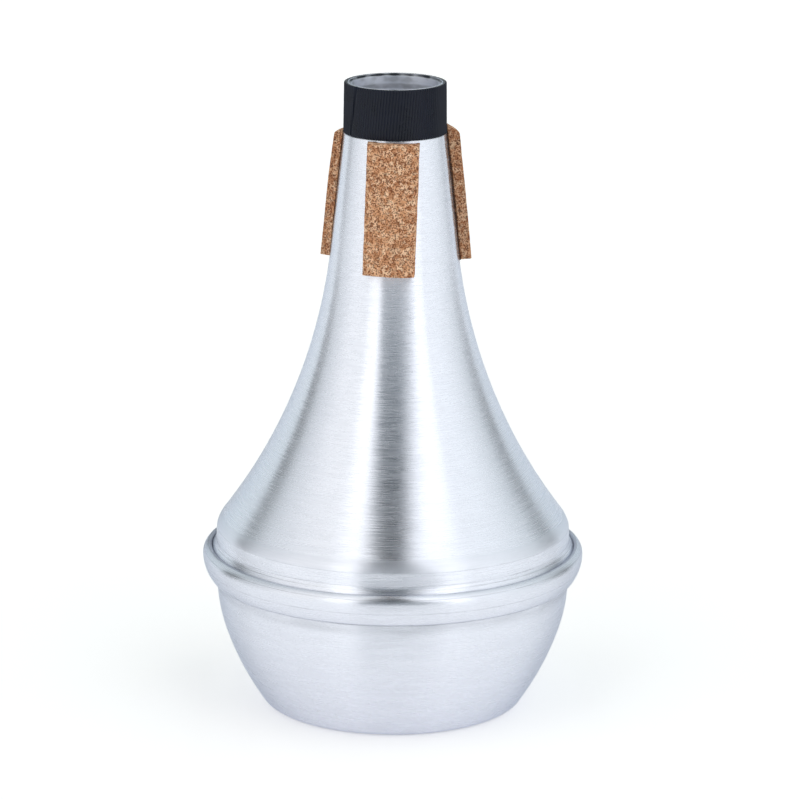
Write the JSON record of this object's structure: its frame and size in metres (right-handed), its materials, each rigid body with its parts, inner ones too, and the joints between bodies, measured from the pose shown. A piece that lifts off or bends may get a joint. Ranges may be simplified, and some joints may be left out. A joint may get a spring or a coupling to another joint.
{
  "type": "trumpet straight mute",
  "caption": "Pear-shaped spun aluminium mute with a ribbed neck sleeve and glued cork strips that wedge in a trumpet's bell.",
  "frame": {"origin": "centre of the flat base, on the surface that the mute stands on", "axes": "+Z along the axis from the base to the open neck, -Y through the middle of the front cork strip"},
  "size_m": [0.105, 0.105, 0.1737],
  "materials": {
    "bell_aluminium": "spun and brushed round the axis, satin",
    "bowl_aluminium": "spun and brushed round the axis, satin",
    "sleeve_rubber": "matt black with fine moulded ribs",
    "cork": "pressed granulated cork, sanded",
    "contact_cement": "dried brown contact cement"
  },
  "bodies": {
    "root": {"bell_shell": "bell_aluminium", "base_bowl": "bowl_aluminium", "neck_sleeve": "sleeve_rubber", "cork_front": "cork", "cork_rear_left": "cork", "cork_rear_right": "cork", "cork_glue_front": "contact_cement", "cork_glue_rear_left": "contact_cement", "cork_glue_rear_right": "contact_cement"}
  },
  "joints": []
}
